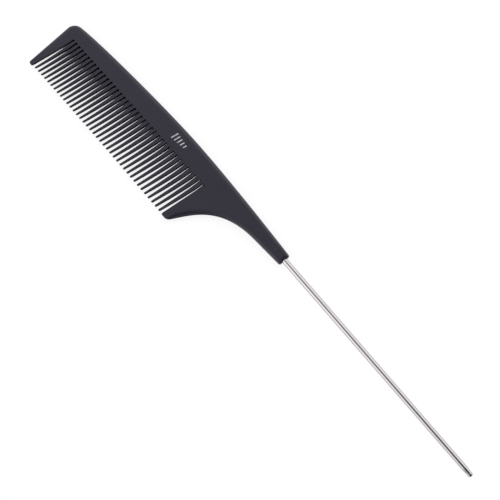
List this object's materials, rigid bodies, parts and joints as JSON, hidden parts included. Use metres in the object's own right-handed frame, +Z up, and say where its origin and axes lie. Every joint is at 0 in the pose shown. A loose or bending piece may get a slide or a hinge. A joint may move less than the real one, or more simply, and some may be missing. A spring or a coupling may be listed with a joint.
{
  "type": "rat tail comb",
  "caption": "Slim moulded comb with fine graded teeth that lean to the head, a thick guard tooth at each end and a tapering shank holding a long blunt steel pin.",
  "frame": {"origin": "centre of the bounding box's underside, on the surface that the comb lies on", "axes": "+X along the tail pin towards its tip, +Y across the comb towards its back, so the teeth point along -Y, +Z up out of the upper face"},
  "size_m": [0.235, 0.029, 0.0041],
  "materials": {
    "comb_plastic": "fine satin, charcoal",
    "pin_steel": "polished along its length",
    "print_ink": "pad print, pale grey"
  },
  "bodies": {
    "root": {"comb_back": "comb_plastic", "shank": "comb_plastic", "head_guard_tooth": "comb_plastic", "heel_guard_tooth": "comb_plastic", "tooth_01": "comb_plastic", "tooth_02": "comb_plastic", "tooth_03": "comb_plastic", "tooth_04": "comb_plastic", "tooth_05": "comb_plastic", "tooth_06": "comb_plastic", "tooth_07": "comb_plastic", "tooth_08": "comb_plastic", "tooth_09": "comb_plastic", "tooth_10": "comb_plastic", "tooth_11": "comb_plastic", "tooth_12": "comb_plastic", "tooth_13": "comb_plastic", "tooth_14": "comb_plastic", "tooth_15": "comb_plastic", "tooth_16": "comb_plastic", "tooth_17": "comb_plastic", "tooth_18": "comb_plastic", "tooth_19": "comb_plastic", "tooth_20": "comb_plastic", "tooth_21": "comb_plastic", "tooth_22": "comb_plastic", "tooth_23": "comb_plastic", "tooth_24": "comb_plastic", "tooth_25": "comb_plastic", "tooth_26": "comb_plastic", "tooth_27": "comb_plastic", "tooth_28": "comb_plastic", "tooth_29": "comb_plastic", "tooth_30": "comb_plastic", "tooth_31": "comb_plastic", "tooth_32": "comb_plastic", "tooth_33": "comb_plastic", "tooth_34": "comb_plastic", "tooth_35": "comb_plastic", "tooth_36": "comb_plastic", "tooth_37": "comb_plastic", "tooth_38": "comb_plastic", "tail_pin": "pin_steel", "mark_bar_1": "print_ink", "mark_bar_2": "print_ink", "mark_bar_3": "print_ink", "mark_bar_4": "print_ink", "mark_bar_5": "print_ink"}
  },
  "joints": []
}
